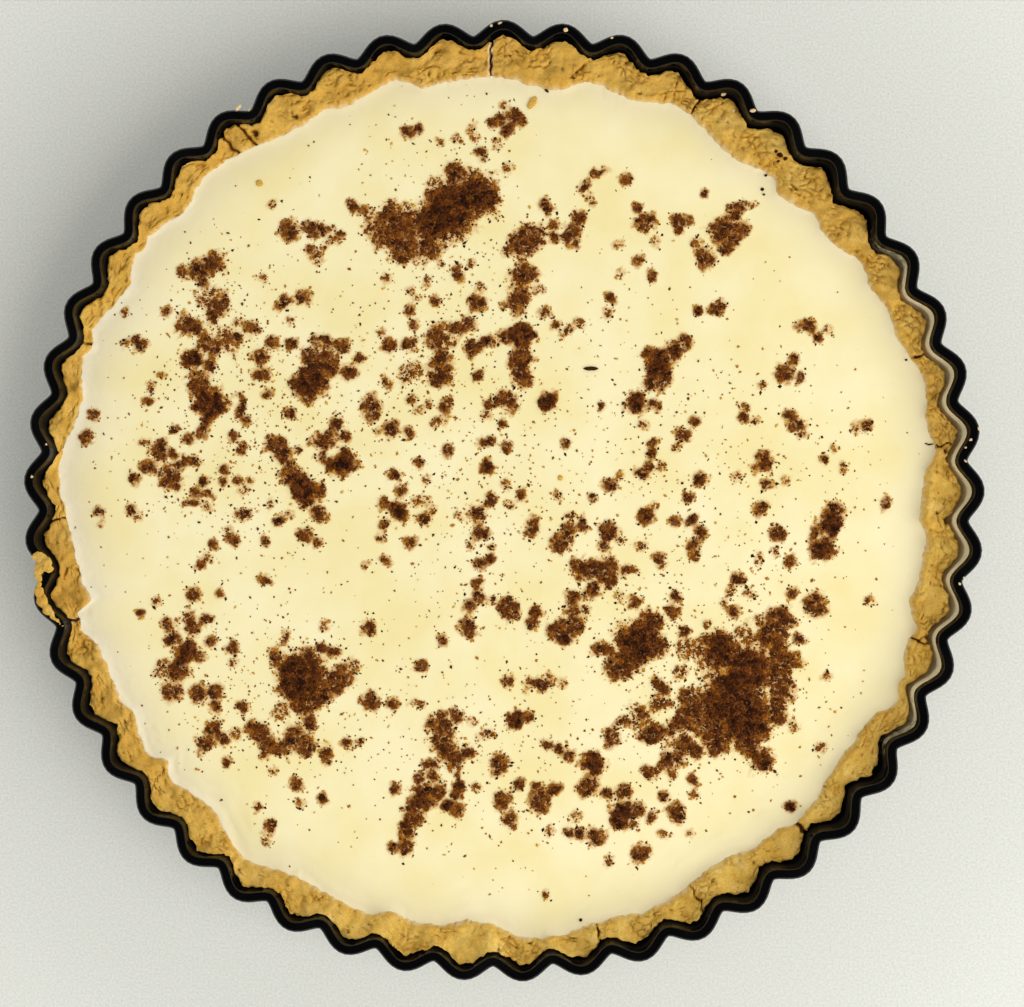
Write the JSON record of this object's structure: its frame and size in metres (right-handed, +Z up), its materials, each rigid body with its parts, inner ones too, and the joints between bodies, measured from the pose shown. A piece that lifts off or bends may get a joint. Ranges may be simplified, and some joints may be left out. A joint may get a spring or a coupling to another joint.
{
  "type": "custard tart",
  "caption": "Round custard tart dusted with cinnamon, baked in and served from its fluted black tart tin.",
  "frame": {"origin": "middle of the tin's underside", "axes": "+Z up through the middle of the tart, +X to the right as it is seen from above, +Y away"},
  "size_m": [0.2799, 0.2798, 0.03],
  "materials": {
    "nonstick_tin": "glossy black non-stick coating on pressed steel",
    "shortcrust": "matte, crumbly baked shortcrust pastry",
    "custard": "soft satin set custard, dusted with ground cinnamon"
  },
  "bodies": {
    "root": {"tart_tin": "nonstick_tin", "pastry_case": "shortcrust", "custard_filling": "custard"}
  },
  "joints": []
}
